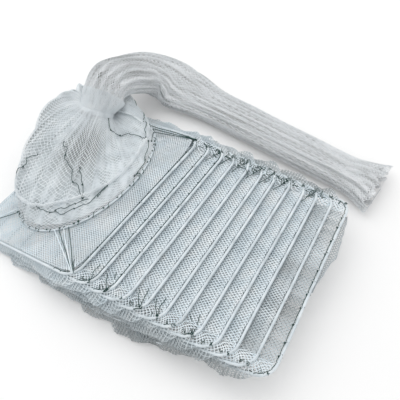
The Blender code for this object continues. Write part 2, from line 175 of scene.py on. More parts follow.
# %% Meshes from arrays
def mesh_object(name, points, quads, material, smooth=True):
    """An object from an array of points and an array of four-cornered faces."""
    points = np.asarray(points, np.float32).reshape(-1, 3)
    quads = np.asarray(quads, np.int32).reshape(-1, 4)
    mesh = bpy.data.meshes.new(name)
    mesh.vertices.add(len(points))
    mesh.vertices.foreach_set("co", points.ravel())
    mesh.loops.add(quads.size)
    mesh.loops.foreach_set("vertex_index", quads.ravel())
    mesh.polygons.add(len(quads))
    mesh.polygons.foreach_set("loop_start", np.arange(0, quads.size, 4, dtype=np.int32))
    mesh.polygons.foreach_set("use_smooth", np.full(len(quads), smooth))
    mesh.update(calc_edges=True)
    mesh.materials.append(material)
    thing = bpy.data.objects.new(name, mesh)
    bpy.context.scene.collection.objects.link(thing)
    return thing


def joined(parts):
    """Several meshes given as points and faces, as one."""
    start, points, quads = 0, [], []
    for found, faces in parts:
        points.append(found)
        quads.append(faces + start)
        start += len(found)
    return np.concatenate(points), np.concatenate(quads)


def full_turn(count):
    """Angles spaced evenly once round."""
    return 2 * math.pi * np.arange(count) / count


def grid_of(rows, columns):
    """Two values at every point of a grid: the first changes by row and the second by column."""
    return np.meshgrid(rows, columns, indexing="ij")


def grid_quads(rows, columns, closed_rows=False, closed_columns=False):
    """Faces of a grid of points, whose rows or columns may meet their own start."""
    i = np.arange(rows if closed_rows else rows - 1)[:, None]
    j = np.arange(columns if closed_columns else columns - 1)[None, :]
    after_i, after_j = (i + 1) % rows, (j + 1) % columns
    corners = [i * columns + j, after_i * columns + j, after_i * columns + after_j, i * columns + after_j]
    return np.stack(np.broadcast_arrays(*corners), axis=-1).reshape(-1, 4)


def step_along(points, closed=False):
    """The step from the point before each to the point after it, along the rows."""
    if closed:
        return np.roll(points, -1, axis=0) - np.roll(points, 1, axis=0)
    return np.gradient(points, axis=0)


def slopes(points, closed_rows=False):
    """Unit directions along a grid's rows and columns, and the direction square to both."""
    along, across = unit(step_along(points, closed_rows)), unit(np.gradient(points, axis=1))
    return along, across, unit(np.cross(along, across))


def set_shade_and_wear(piece, greys):
    """The stored greyness of a piece at each of its points, from 0 to 1: painted shade where it lies in shade,
    and in places uneven tone.
    """
    layer = piece.data.attributes.new("shade_and_wear", "FLOAT", "POINT")
    layer.data.foreach_set("value", np.asarray(greys, np.float32).ravel())


# %% [markdown]
# ## Netting, thread by thread
#
# Fishing net is knotted into diamonds: four threads meet at each knot. On a grid of points every second
# point is a knot, and threads run to the four diagonal neighbours. Each knot is a flat square whose sides
# are as wide as a thread, so threads grow straight out of its sides and the whole net is one closed solid.

# %% A net on any surface
THREAD_WIDTH = 1.0 * MM
THREAD_DEPTH = 0.5 * MM
NEIGHBOURS = ((1, 1, 0), (-1, 1, 1), (-1, -1, 2), (1, -1, 3))  # step in i, step in j, corner it leaves from


def knot_places(rows, columns, keep=True):
    """Every second point of the grid, apart from those in a hole, where keep is false."""
    even = np.add.outer(np.arange(rows), np.arange(columns)) % 2 == 0
    return np.nonzero(even & keep)


def net_mesh(points, closed_rows, width, keep):
    """Threads along the diagonals of a grid of points, as corner points and four-cornered faces.

    A knot's corners stand half a diagonal away along the grid's own directions: east, north, west, south.
    """
    rows, columns = points.shape[:2]
    east, north, up = slopes(points, closed_rows)
    half = width / math.sqrt(2)
    outward = np.stack([east, north, -east, -north], axis=2) * half
    lifts = np.stack([up, -up], axis=2) * THREAD_DEPTH / 2
    corners = points[:, :, None, None, :] + outward[:, :, :, None, :] + lifts[:, :, None, :, :]
    i, j = knot_places(rows, columns, keep)
    number = np.full((rows, columns), -1)
    number[i, j] = np.arange(len(i))
    base = number[i, j] * 8

    def corner(start, which, level):
        return start + 2 * (which % 4) + level

    faces = [np.stack([corner(base, which, 0) for which in range(4)], axis=-1)]
    faces.append(np.stack([corner(base, 3 - which, 1) for which in range(4)], axis=-1))
    for step_i, step_j, side in NEIGHBOURS:
        next_i, next_j = i + step_i, j + step_j
        inside = (next_j >= 0) & (next_j < columns)
        if closed_rows:
            next_i = next_i % rows
        else:
            inside &= (next_i >= 0) & (next_i < rows)
        inside[inside] = number[next_i[inside], next_j[inside]] >= 0
        lone = base[~inside]
        cap = ((side, 1), (side + 1, 1), (side + 1, 0), (side, 0))
        faces.append(np.stack([corner(lone, which, level) for which, level in cap], axis=-1))
        if step_i < 0:
            continue
        here = base[inside]
        there = number[next_i[inside], next_j[inside]] * 8
        # the thread leaves between two corners and arrives between the two that face them
        a, b = corner(here, side, 0), corner(here, side + 1, 0)
        c, d = corner(there, side + 2, 0), corner(there, side + 3, 0)
        for face in ([a, d, c, b], [b + 1, c + 1, d + 1, a + 1], [a + 1, d + 1, d, a], [c + 1, b + 1, b, c]):
            faces.append(np.stack(face, axis=-1))
    return corners[i, j].reshape(-1, 3), np.concatenate(faces)


def net_object(name, patches, material, closed_rows=False, shade_and_wear=None, width=THREAD_WIDTH, keep=True):
    """One object from several netted grids; the greys given say how grey its threads are at each grid point:
    painted shade, and in places uneven tone.
    """
    points, quads = joined([net_mesh(patch, closed_rows, width, keep) for patch in patches])
    net = mesh_object(name, points, quads, material, smooth=False)
    if shade_and_wear is not None:
        set_shade_and_wear(net, np.concatenate([np.repeat(grid[knot_places(*grid.shape, keep)], 8) for grid in shade_and_wear]))
    return net


# %% [markdown]
# ## Round wire and twine
#
# Wire and twine are circles carried along a path. The circle needs a direction to start from at each point:
# for twine round a wire that is the direction away from the wire, which never turns along the path.

# %% Tubes along a path
def tube_mesh(path, outward, radius, sides, closed=False):
    """A circle carried along a path; outward gives where each circle starts."""
    path = np.asarray(path, float)
    ahead = unit(step_along(path, closed))
    outward = np.broadcast_to(outward, path.shape)
    first = unit(outward - (outward * ahead).sum(-1, keepdims=True) * ahead)
    second = np.cross(ahead, first)
    points = path[:, None] + round_from(first[:, None], second[:, None], full_turn(sides)) * radius
    quads = [grid_quads(len(path), sides, closed_rows=closed, closed_columns=True)[:, ::-1]]
    for end, turn in () if closed else ((0, 1), (len(path) - 1, -1)):
        ring = end * sides + np.arange(sides)
        low, high = ring[: sides // 2], ring[sides // 2 :][::-1]
        caps = np.stack([low[:-1], low[1:], high[1:], high[:-1]], axis=-1)
        quads.append(caps[:, ::-turn])
    return points.reshape(-1, 3), np.concatenate(quads)


def soft_wave(at, seed, terms=5):
    """An even, repeatable unevenness between about -1 and 1: a few sines of random length and start."""
    random = np.random.default_rng(seed)
    total = np.zeros_like(np.asarray(at, float))
    for term in range(1, terms + 1):
        total = total + np.sin(at * term * random.uniform(0.7, 1.3) + random.uniform(0, 2 * math.pi)) / term
    return total / 1.6


def smoothstep(value):
    value = np.clip(value, 0, 1)
    return value * value * (3 - 2 * value)


# %% [markdown]
# ## Finishes
#
# The wire has a thin white plastic coating with a soft gloss, greyed where it has rubbed. The netting is
# white nylon, slightly blue, and its threads differ a little in tone. The twine is dark green and twisted
# from strands. All patterns come from the object's own coordinates or from values stored at its points, so
# they hold from any side.

# %% Node helpers
def set_inputs(node, **values):
    """Values for a node's inputs; an underscore stands for the space in an input's name."""
    for name, value in values.items():
        node.inputs[name.replace("_", " ")].default_value = value


def new_node(tree, kind, **values):
    node = tree.nodes.new("ShaderNode" + kind)
    set_inputs(node, **values)
    return node


def new_material(name, **values):
    """A material, its node tree and its main shader with the values given."""
    made = bpy.data.materials.new(name)
    made.use_nodes = True
    shader = made.node_tree.nodes["Principled BSDF"]
    set_inputs(shader, **values)
    return made, made.node_tree, shader


def noise_of(tree, scale, detail, attribute=""):
    """Noise that reads the object's own coordinates, or an attribute of its points."""
    noise = new_node(tree, "TexNoise", Scale=scale, Detail=detail)
    place = new_node(tree, "Attribute" if attribute else "TexCoord")
    if attribute:
        place.attribute_name = attribute
    tree.links.new(place.outputs["Vector" if attribute else "Object"], noise.inputs["Vector"])
    return noise.outputs["Fac"]


def ramp_of(tree, source, stops):
    """A colour ramp of position and colour pairs, read from a value."""
    ramp = new_node(tree, "ValToRGB")
    while len(ramp.color_ramp.elements) < len(stops):
        ramp.color_ramp.elements.new(0.5)
    for element, (position, colour) in zip(ramp.color_ramp.elements, stops):
        element.position = position
        element.color = (*colour, 1.0)
    tree.links.new(source, ramp.inputs["Fac"])
    return ramp.outputs["Color"]


def bump_from(tree, source, shader, strength, distance):
    """Small relief in the shading, where the value source is the height; distance is in metres."""
    bump = new_node(tree, "Bump", Strength=strength, Distance=distance)
    tree.links.new(source, bump.inputs["Height"])
    tree.links.new(bump.outputs["Normal"], shader.inputs["Normal"])


# %% Coated wire, netting and twine
# The grey that the netting turns towards: mostly painted shade where it lies in shade, and in places uneven
# tone.
SHADE_AND_WEAR_GREY = (0.26, 0.28, 0.285, 1.0)


def make_coated_wire():
    """Blotches of three tones under a thin coat, and a fine grain."""
    made, tree, shader = new_material("white coated wire", Roughness=0.34, Coat_Weight=0.2)
    tones = ((0.30, (0.54, 0.60, 0.63)), (0.50, (0.66, 0.73, 0.77)), (0.70, (0.76, 0.82, 0.85)))
    tree.links.new(ramp_of(tree, noise_of(tree, 60.0, 4.0), tones), shader.inputs["Base Color"])
    bump_from(tree, noise_of(tree, 900.0, 2.0), shader, 0.15, 0.0003)
    return made


def with_shade_and_wear(tree, colour, shader):
    """The colour goes to the surface, turned grey where the stored greyness is high: painted shade, and in
    places uneven tone.
    """
    shade_and_wear_node = new_node(tree, "Attribute")
    shade_and_wear_node.attribute_name = "shade_and_wear"
    mix = new_node(tree, "MixRGB", Color2=SHADE_AND_WEAR_GREY)
    tree.links.new(shade_and_wear_node.outputs["Fac"], mix.inputs["Fac"])
    tree.links.new(colour, mix.inputs["Color1"])
    tree.links.new(mix.outputs["Color"], shader.inputs["Base Color"])


def make_netting(name, dark, middle, light, scale):
    """Threads in patches of three tones, with a fine grain."""
    made, tree, shader = new_material(name, Roughness=0.55, Sheen_Weight=0.15)
    patches = noise_of(tree, scale, 5.0)
    with_shade_and_wear(tree, ramp_of(tree, patches, ((0.32, dark), (0.50, middle), (0.66, light))), shader)
    bump_from(tree, noise_of(tree, 2500.0, 1.0), shader, 0.3, 0.0002)
    return made


def make_streaked_netting(name, dark, middle, light):
    """Netting pulled long: tones in streaks that follow the attribute streak, which runs with the folds."""
    made, tree, shader = new_material(name, Roughness=0.6, Sheen_Weight=0.15)
    streaks = noise_of(tree, 1.0, 4.0, "streak")
    with_shade_and_wear(tree, ramp_of(tree, streaks, ((0.34, dark), (0.50, middle), (0.62, light))), shader)
    bump_from(tree, streaks, shader, 0.5, 0.0015)
    return made


def make_twine():
    """Slanting bands of light and dark, for the strands that the twine is twisted from."""
    made, tree, shader = new_material("twisted green twine", Roughness=0.7)
    strands = new_node(tree, "TexWave", Scale=420.0, Distortion=2.0)
    strands.bands_direction = "DIAGONAL"
    tree.links.new(new_node(tree, "TexCoord").outputs["Object"], strands.inputs["Vector"])
    tones = ((0.2, (0.006, 0.030, 0.028)), (0.7, (0.022, 0.085, 0.075)))
    tree.links.new(ramp_of(tree, strands.outputs["Fac"], tones), shader.inputs["Base Color"])
    bump_from(tree, strands.outputs["Fac"], shader, 0.6, 0.0003)
    return made


COATED_WIRE = make_coated_wire()
NETTING = make_netting("white netting", (0.72, 0.82, 0.88), (0.84, 0.93, 0.98), (0.90, 0.96, 0.99), 45.0)
CONE_NETTING = make_netting("cone netting", (0.66, 0.71, 0.74), (0.79, 0.84, 0.87), (0.88, 0.92, 0.94), 38.0)
# The packed netting's dark streaks are painted shade, the shade in the gaps between packed layers; its lighter
# streaks are the netting's own tone.
SLEEVE_NETTING, CONE_LINING, PACKED_NETTING = (
    make_streaked_netting(name, *tones)
    for name, *tones in (
        ("sleeve netting", (0.60, 0.62, 0.63), (0.80, 0.83, 0.85), (0.90, 0.92, 0.94)),
        ("cone lining", (0.50, 0.55, 0.57), (0.72, 0.78, 0.81), (0.87, 0.92, 0.95)),
        ("packed netting", (0.30, 0.30, 0.30), (0.60, 0.61, 0.62), (0.80, 0.81, 0.82)),
    )
)
TWINE = make_twine()
print("finishes made")


# %% [markdown]
# ## The wire frames
#
# Each frame is one loop of round wire, bent by hand, so it isn't quite straight. A circle carried along the
# rounded rectangle gives it, with a slow wave of half a millimetre or so off the true line.

# %% Frames
RIM_POINTS = 168
FRAME_SIDES = 14
FRAME_BOW = 0.7 * MM


def wire_loop(number, line, lift, outward, radius, name, body, node):
    """Wire along a closed line of a frame's x and y; outward is the direction out of the loop, as an angle."""
    points, quads = tube_mesh(*around_wire(number, line, lift, outward), radius, FRAME_SIDES, closed=True)
    keep_above(points, 0.0)
    loop = mesh_object(name, points, quads, COATED_WIRE)
    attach(loop, body)
    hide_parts(node)


for number in range(1, FRAME_COUNT + 1):
    distance = RIM_LENGTH * np.arange(RIM_POINTS) / RIM_POINTS
    bow = FRAME_BOW * soft_wave(distance * 2 * math.pi / RIM_LENGTH * 2, number) * np.sin(distance * 8) ** 2
    *line, outward = rim(distance, bow)
    name = f"wire_frame_{number:02d}"
    wire_loop(number, line, 0.0, outward, WIRE_RADIUS, name, body_of(number), frame_name(number))
print("frames:", FRAME_COUNT)

# %% [markdown]
# ## The oval hoop
#
# A thinner wire bent into an oval lies just above the first frame. The netting cone starts from it.

# %% Hoop
HOOP_MIDDLE = (99 * MM, 16 * MM)
HOOP_HALF = (88 * MM, 136 * MM)
HOOP_LIFT = 9.5 * MM
HOOP_WIRE_RADIUS = 1.8 * MM


def hoop_line(angle, grow=0.0):
    """The oval: a cosine and a sine stretched to its half axes, in the first frame's x and y."""
    x = HOOP_MIDDLE[0] + (HOOP_HALF[0] + grow) * np.cos(angle)
    y = HOOP_MIDDLE[1] + (HOOP_HALF[1] + grow) * np.sin(angle)
    return x, y


turn = full_turn(144)
wire_loop(1, hoop_line(turn), HOOP_LIFT, turn, HOOP_WIRE_RADIUS, "oval_hoop", "tail_end", "tail_hoop")
print("hoop:", [round(2000 * half) for half in HOOP_HALF], "mm")

# %% [markdown]
# ## Netting between the frames
#
# A bay of netting is a tube between two frames. Folded, it has to go somewhere: by the upper rods it tucks
# inwards between the two frames, and at the short sides it bulges out in pleats. Each bay is therefore a
# function of the distance round the rim and the share of the way across, with a reach inwards or outwards
# that depends on where on the rim it is. The deep tuck by the upper rod is a second, finer grid.

# %% Bay nets
MESH_STEP = 2.55 * MM  # between neighbouring points of the grid, so a thread is 3.6 mm from knot to knot
HIDDEN_STEP = 4.5 * MM  # along the lower rods, where the netting lies out of sight
TUCK_DEPTH = 46 * MM
RIM_TUCK = 24 * MM
SIDE_BULGE_NEAR = 13 * MM
SIDE_BULGE_FAR = 14 * MM
NET_STANDOFF = 2.6 * MM
BLEND_INSET = 0.5 * MM
HITCH_SPACING = 25 * MM
# Painted shade in the netting: greyer in the last two bays, in the bulging side pleats and where a tuck lies
# under its neighbour.
SHADE_OF_LAST_BAYS = (0.55, 0.8)  # how grey the last two bays are
SHADE_OF_PLEATS = (0.34, 0.88)  # how grey the pleats are at the first bay and at the last
SHADE_UNDER_NEIGHBOUR = 0.54  # how grey the half of a tuck is that lies under its neighbour
# outward direction in degrees, and how far a fold reaches out there, or in where below 0
REACHES = ((0, -RIM_TUCK), (30, -6 * MM), (90, SIDE_BULGE_FAR), (150, -3 * MM), (180, -6 * MM))
REACHES += ((210, -3 * MM), (270, SIDE_BULGE_NEAR), (330, -6 * MM), (360, -RIM_TUCK))


def tuck(across):
    """A fold's depth by the share across: straight in, a round tip half way, and straight out again."""
    tip = 0.15
    return (1 - np.sqrt((2 * across - 1) ** 2 * (1 - tip**2) + tip**2)) / (1 - tip)


def bay_patch(number, distance, across, reach, seed):
    """The bay's surface: between two frames, moved in or out by reach times the fold, with soft waves."""
    fold = tuck(across)
    wave = soft_wave(distance * 70 + number, seed) * fold
    pinch = 0.5 - 0.5 * np.cos(2 * math.pi * distance / HITCH_SPACING)
    inward = NET_STANDOFF + 1.2 * MM * pinch * (1 - fold)
    slow = soft_wave(distance * 26 + 2 * number, seed + 7, terms=3) * fold
    pleat = 1 + np.where(reach > 0, 0.50 * slow + 0.10 * wave, 0.22 * wave)
    x, y, angle = rim(distance, -inward + reach * fold * pleat)
    share = across + 0.10 * wave * np.sin(2 * math.pi * across)
    points = between(number, x, y, share)
    far_side = np.clip(np.sin(angle), 0, 1) * (distance > 0)
    sag = np.clip(reach, 0, None) * fold * (0.5 + 0.3 * wave) * (1 - 1.8 * far_side)
    points[..., 2] -= sag
    keep_above(points, 0.5 * MM)
    return points


def rim_rows():
    """Places round the rim from one end of the upper rod to the other, wider apart along the lower rod."""
    side = (RIM_LENGTH - 4 * HALF_ROD) / 2
    visible, hidden = round(side / MESH_STEP), round(2 * HALF_ROD / HIDDEN_STEP) // 2 * 2
    stops = [0, side, side + 2 * HALF_ROD, 2 * side + 2 * HALF_ROD]
    rows = np.arange(2 * visible + hidden + 1)
    return HALF_ROD + np.interp(rows, [0, visible, visible + hidden, 2 * visible + hidden], stops)


def deep_tuck(number):
    """The netting between two upper rods, and its painted shade: greyer in the last bays and in the half that
    lies under its neighbour.
    """
    columns = 2 * round(TUCK_DEPTH / MESH_STEP) + 3
    rows = 2 * round(HALF_ROD / MESH_STEP) + 1
    distance, across = grid_of(np.linspace(-HALF_ROD, HALF_ROD, rows), np.linspace(0, 1, columns))
    late = SHADE_OF_LAST_BAYS[number - FRAME_COUNT + 2] if number > FRAME_COUNT - 3 else 0.0
    shade_and_wear = late * (0.6 + 0.4 * soft_wave(distance * 40, number)).clip(0, 1)
    under = SHADE_UNDER_NEIGHBOUR * smoothstep((0.62 - across) / 0.2)
    reach = np.full(distance.shape, -TUCK_DEPTH)
    return bay_patch(number, distance, across, reach, number), np.maximum(shade_and_wear, under)


def round_the_rim(number):
    """The rest of the way round, with pleats at the short sides, and its painted shade, greyest in the bulging
    pleats.
    """
    distance, across = grid_of(rim_rows(), np.linspace(0, 1, 13))
    reach = np.interp(np.degrees(rim(distance)[2]), *zip(*REACHES))
    pleats = np.interp(number, (1, FRAME_COUNT - 1), SHADE_OF_PLEATS)
    shade_and_wear = np.clip(reach / SIDE_BULGE_NEAR, 0, 1) * pleats * (0.6 + 0.4 * tuck(across))
    return bay_patch(number, distance, across, reach, number + 40), shade_and_wear


def blend_planes(number):
    """A point on each frame's plane, moved inwards along the direction half way between the frames' own."""
    both = (number, number + 1)
    start, next_middle = (on_frame(frame_number, FRAME_WIDTH / 2, 0.0) for frame_number in both)
    normal = unit(sum(on_frame(each, 0.0, 0.0, 1.0) - on_frame(each, 0.0, 0.0) for each in both))
    thickness = float((next_middle - start) @ normal)
    inset = math.copysign(BLEND_INSET, thickness)
    return tuple(start + normal * inset), tuple(start + normal * (thickness - inset))


for number in range(1, FRAME_COUNT):
    patches, shade_and_wear = zip(deep_tuck(number), round_the_rim(number))
    net = net_object(f"bay_netting_{number:02d}", patches, NETTING, shade_and_wear=shade_and_wear)
    start, end = blend_planes(number)
    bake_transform(net)
    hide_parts(f"bay_net_{number:02d}")
print("bay nets:", FRAME_COUNT - 1)

# %% [markdown]
# ## The throat and the end
#
# The net between the hoop and the first frame is a flat grid with a hole: grid points inside the hoop are left
# out. A slack net closes the last frame, and a loose fold of netting lies beyond that frame's upper rod.

# %% Throat net
UNDER_HOOP = HOOP_LIFT - 2.6 * MM
ON_FRAME = 2.9 * MM
HOLE_EDGE = 0.985  # the net ends a little inside the hoop


def frame_sheet(step):
    """A grid of x and y over a frame's window, a little drawn in at the round corners."""
    rows = 2 * round(FRAME_WIDTH / step / 2) + 1
    columns = 2 * round(2 * HALF_LENGTH / step / 2) + 1
    up, along = grid_of(np.linspace(-1, 1, rows), np.linspace(-1, 1, columns))
    corner_cut = CORNER_RADIUS * 0.3 * np.abs(up * along) ** 6
    x = FRAME_WIDTH / 2 + up * (FRAME_WIDTH / 2 - NET_STANDOFF - corner_cut)
    return x, along * (HALF_LENGTH - NET_STANDOFF - corner_cut), up, along


x, y, up, along = frame_sheet(MESH_STEP)
x = x + 0.5 * MM * soft_wave(y * 90, 11) * (1 - up**2)
from_hoop = np.hypot((x - HOOP_MIDDLE[0]) / HOOP_HALF[0], (y - HOOP_MIDDLE[1]) / HOOP_HALF[1])
to_frame = (up**8 + along**8) ** (1 / 8)  # 1 at the frame, as from_hoop is 1 at the hoop
out = np.clip((from_hoop - 1) / np.maximum(from_hoop - to_frame, 1e-6), 0, 1)
slack = 1.0 * MM * soft_wave(x * 50 + y * 70, 3) * np.sin(math.pi * out)
ring = on_frame(1, x, y, UNDER_HOOP + (ON_FRAME - UNDER_HOOP) * out + slack)
greys = (0.10 + 0.16 * soft_wave(x * 60 - y * 45, 13)).clip(0, 1)
throat = net_object("throat_netting", [ring], NETTING, shade_and_wear=[greys], keep=from_hoop > HOLE_EDGE)
HOOP_PLANE = tuple(on_frame(1, FRAME_WIDTH / 2, 0.0, UNDER_HOOP - 0.2 * MM))
FIRST_PLANE = tuple(on_frame(1, FRAME_WIDTH / 2, 0.0, 3 * MM))
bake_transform(throat)
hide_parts("throat_net")

# %% End net
END_STEP = 3.6 * MM
SAG = 2.5 * MM
x, y, up, along = frame_sheet(END_STEP)
sagging = -SAG * (1 - up**2) * (1 - along**2) * (1 + 0.5 * soft_wave(up * 4.5 + along * 7, 8))
window = on_frame(FRAME_COUNT, x, y, sagging)
keep_above(window, 0.5 * MM)
# the loose fold: an arc over the rod, whose radius grows towards the middle of its length
arc, place = grid_of(np.linspace(-3.6, 0.5, 9), np.linspace(-0.1, 0.97, 61))
radius = (1.2 + 4.6 * np.sin(math.pi * np.clip(place, 0, 1)) * (1 + 0.25 * soft_wave(place * 11, 9))) * MM
over_rod = FRAME_WIDTH + radius * (1 + np.cos(arc))
fold = on_frame(FRAME_COUNT, over_rod, place * HALF_ROD, -NET_STANDOFF + radius * np.sin(arc))
# Painted shade: the end net and its loose fold are greyed as netting that lies over shade.
greys = [np.full(window.shape[:2], 0.8), np.full(fold.shape[:2], 0.6)]
end_net = net_object("end_netting", [window, fold], NETTING, shade_and_wear=greys)
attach(end_net, body_of(FRAME_COUNT))
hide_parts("end_net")
print("throat and end netted")

# %% [markdown]
# ## The sleeve's route
#
# The sleeve rises out of the neck, turns over, comes down onto the floor and lies along the frames. Its middle
# line is a smooth curve through a few stations, each with the sleeve's half width and half height there.

# %% Stations and a smooth curve through them
NECK_RADIUS = 27 * MM
NECK_HEIGHT = 84 * MM
NECK_X = 44 * MM
NECK_Y = HALF_LENGTH - 48 * MM
RUN_Y = HALF_LENGTH + 105 * MM
SLEEVE_RUN = 386 * MM
SLEEVE_HALF_HEIGHT = 19 * MM
BEND_HALF_WIDTH = 50 * MM
BODY_HALF_WIDTH = 33 * MM
MOUTH_HALF_WIDTH = 53 * MM
SLEEVE_DRIFT = 16 * MM  # how far the lying part comes back towards the frames
# along x from the neck, share of the way out to the run, height as a share or in metres above the lying part,
# and width and depth as shares
SLEEVE_RISE = (
    (0.000, 0.00, 0.80, 1.00, 1.00),
    (-0.004, 0.15, 1.03, 1.20, 1.00),
    (-0.005, 0.36, 1.08, 1.45, 0.98),
    (-0.001, 0.62, 0.85, 1.70, 0.92),
)
SLEEVE_BEND = (
    (0.010, 0.86, 0.030, 1.00, 1.25),
    (0.038, 1.01, 0.010, 1.00, 1.20),
    (0.076, 1.03, 0.001, 0.90, 1.00),
)
# share of the run, and width as a share
SLEEVE_LIE = ((0.15, 1.06), (0.35, 1.00), (0.60, 0.98), (0.82, 0.96), (0.91, 1.12))


def stations():
    """Rows of x, y, z, half width and half height, in the shared coordinates."""
    origin = on_frame(1, FRAME_WIDTH / 2, 0.0) - [FRAME_WIDTH / 2 * math.cos(LEAN), 0, 0]
    reach = RUN_Y - NECK_Y
    rows = []
    for along, out, height, wide, deep in SLEEVE_RISE:
        place = (NECK_X + along, NECK_Y + out * reach, height * NECK_HEIGHT)
        rows.append((*place, wide * NECK_RADIUS, deep * NECK_RADIUS))
    flat = SLEEVE_HALF_HEIGHT
    for along, out, lift, wide, deep in SLEEVE_BEND:
        rows.append((NECK_X + along, NECK_Y + out * reach, flat + lift, wide * BEND_HALF_WIDTH, deep * flat))
    x = rows[-1][0]
    for share, wide in SLEEVE_LIE:
        drift = SLEEVE_DRIFT * share**2 * (3 - 2 * share)
        rows.append((x + share * SLEEVE_RUN, RUN_Y - drift, flat, wide * BODY_HALF_WIDTH, flat))
    rows.append((x + SLEEVE_RUN, RUN_Y - SLEEVE_DRIFT, flat * 0.9, MOUTH_HALF_WIDTH, flat * 0.9))
    rows = np.array(rows)
    rows[:, :2] += origin[:2]
    return rows


def through(rows, along):
    """A smooth curve through rows: a cubic between each two, whose slopes come from their neighbours."""
    last = len(rows) - 1
    span = np.clip(np.floor(along * last).astype(int), 0, last - 1)
    t = (along * last - span)[..., None]
    a, b, c, d = (rows[np.clip(span + k, 0, last)] for k in (-1, 0, 1, 2))
    return (2 * b + (c - a) * t + (2 * a - 5 * b + 4 * c - d) * t**2 + (3 * b - a - 3 * c + d) * t**3) / 2


STATIONS = stations()
print("sleeve stations:", len(STATIONS))


# %% [markdown]
# ## The sleeve
#
# The sleeve is netting gathered so tightly that little shows through it. A folded inner skin stands for the
# packed layers, and two nets of real threads lie just outside it, with their meshes pulled long. All use one
# function of the angle round the sleeve and the share along it. The skin begins a little way past the neck.
# Before that the nets alone show, and next to the neck the cone's end is drawn up over them.

# %% Sleeve surface
POOF = 0.30  # how much the netting swells out just past the neck, as a share
SKIN_START, SKIN_END = 0.13, 0.965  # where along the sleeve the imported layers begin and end
SKIN_INSET = 2.2 * MM
SHADED_BEND = 0.22  # where along the sleeve, at its bend, the painted shade is greyest


def ridge(phase):
    """Round tops and sharp valleys, between -1 and 1: the way gathered cloth folds."""
    return 2 * np.abs(np.cos(phase / 2)) - 1


def sleeve_surface(turn, along, inset=0.0):
    """An oval round the middle line whose radius rises and falls with the folds, kept above the floor."""
    row = through(STATIONS, along)
    step = 0.002
    after = through(STATIONS, np.clip(along + step, 0, 1))[..., :3]
    before = through(STATIONS, np.clip(along - step, 0, 1))[..., :3]
    ahead = unit(after - before)
    across = unit(np.cross([0.0, 0.0, 1.0], ahead))
    above = np.cross(ahead, across)
    grown = np.clip(along / 0.12, 0, 1)
    phase = 0.9 * np.sin(along * 7.0) + 0.5 * np.sin(along * 17.0 + 1)
    fold = 0.050 * ridge(9 * turn + phase) + 0.040 * ridge(14 * turn - 1.7 * phase + 1.0)
    fold = fold + 0.026 * ridge(25 * turn + 2.3 * phase + 2.0)
    swell = POOF * np.exp(-(((along - 0.055) / 0.035) ** 2)) * (0.5 - 0.5 * np.cos(turn - 0.8))
    size = 1 + fold * grown + swell + 0.012 * np.sin(along * 40 + 2 * turn)
    side = np.cos(turn) * (row[..., 3] - inset) * size
    rise = np.sin(turn) * (row[..., 4] - inset) * size
    points = row[..., :3] + across * side[..., None] + above * rise[..., None]
    keep_above(points, 0.6 * MM + inset)
    return points


def sleeve_greys(turn, along):
    """Painted shade, greyest at the bend and on one side of it, and a little uneven tone everywhere."""
    bend = np.exp(-(((along - SHADED_BEND) / 0.10) ** 2))
    return (0.42 * bend * (0.7 + 0.3 * np.cos(turn)) + 0.10 * soft_wave(turn * 11 + along * 7, 41)).clip(0, 1)


def add_streaks(piece, turn, along, repeat=1):
    """The attribute streak: quick to change round the sleeve and slow to change along it, without a seam."""
    around = 7.0 + 3.0 * np.sin(along * 3)
    streak = np.stack([np.cos(turn) * around, np.sin(turn) * around, along * 9.0], axis=-1).reshape(-1, 3)
    layer = piece.data.attributes.new("streak", "FLOAT_VECTOR", "POINT")
    layer.data.foreach_set("vector", np.repeat(streak, repeat, axis=0).astype(np.float32).ravel())


def sleeve_grid(rows, columns, start=0.0, end=1.0):
    """Angles round the sleeve, clockwise so that faces look outwards, and shares along it."""
    return grid_of(-full_turn(rows), np.linspace(start, end, columns))


turn, along = sleeve_grid(180, 210, SKIN_START, SKIN_END)
skin = sleeve_surface(turn, along, SKIN_INSET)
packed = mesh_object("packed_sleeve_folds", skin, grid_quads(*turn.shape, closed_rows=True), PACKED_NETTING)
add_streaks(packed, turn, along)
set_shade_and_wear(packed, sleeve_greys(turn, along))


def sleeve_net(name, rows, columns, inset, frayed):
    """One layer of long meshes; towards the mouth its rows end unevenly, as torn netting does."""
    turn, along = sleeve_grid(rows, columns)
    ragged = 1.2 + soft_wave(turn * 5, 21) + 0.7 * np.sin(turn * 17 + 1) + 0.4 * soft_wave(turn * 41, 22)
    along = along * (1 - frayed * ragged * along**14)
    surface, greys = sleeve_surface(turn + inset * 9, along, inset), sleeve_greys(turn, along)
    net = net_object(name, [surface], SLEEVE_NETTING, closed_rows=True, shade_and_wear=[greys])
    i, j = knot_places(rows, columns)
    add_streaks(net, turn[i, j], along[i, j], repeat=8)
    return net


sleeve = sleeve_net("net_sleeve", 128, 148, 0.0, 0.018)
inner_sleeve = sleeve_net("net_sleeve_inner_layer", 90, 104, 1.2 * MM, 0.012)
for piece in (sleeve, inner_sleeve, packed):
    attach(piece, "tail_end")
    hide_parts("tail_sleeve")
print("sleeve netted")


# %% [markdown]
# ## The cone
#
# Netting is drawn from the hoop up to the neck. It starts as an oval, ends as a small circle and gathers in
# pleats on the way. It is slack, so it billows out over the hoop, bags behind the neck and stands up beside
# the sleeve. One layer of threads hides little, so a folded lining just inside stands for the layers behind it,
# and painted shade greys it where the photograph shows open, dark meshes, and on its shaded side. A collar
# covers the step to the sleeve.

# %% Cone surface
CONE_BILLOW = 70 * MM
CONE_BILLOW_ANGLE = math.radians(187)
CONE_BAG = 66 * MM  # a slack fold behind the neck
CONE_BAG_ANGLE = math.radians(138)
CONE_PILLOW = 30 * MM  # how far the netting stands up beside the sleeve
CONE_PILLOW_ANGLE = math.radians(75)
CONE_START = HOOP_LIFT + 2.5 * MM


def facing(turn, angle):
    """1 where turn is the angle, 0 on the side away from it, and a cosine between."""
    return (0.5 + 0.5 * np.cos(turn - angle))[..., None]


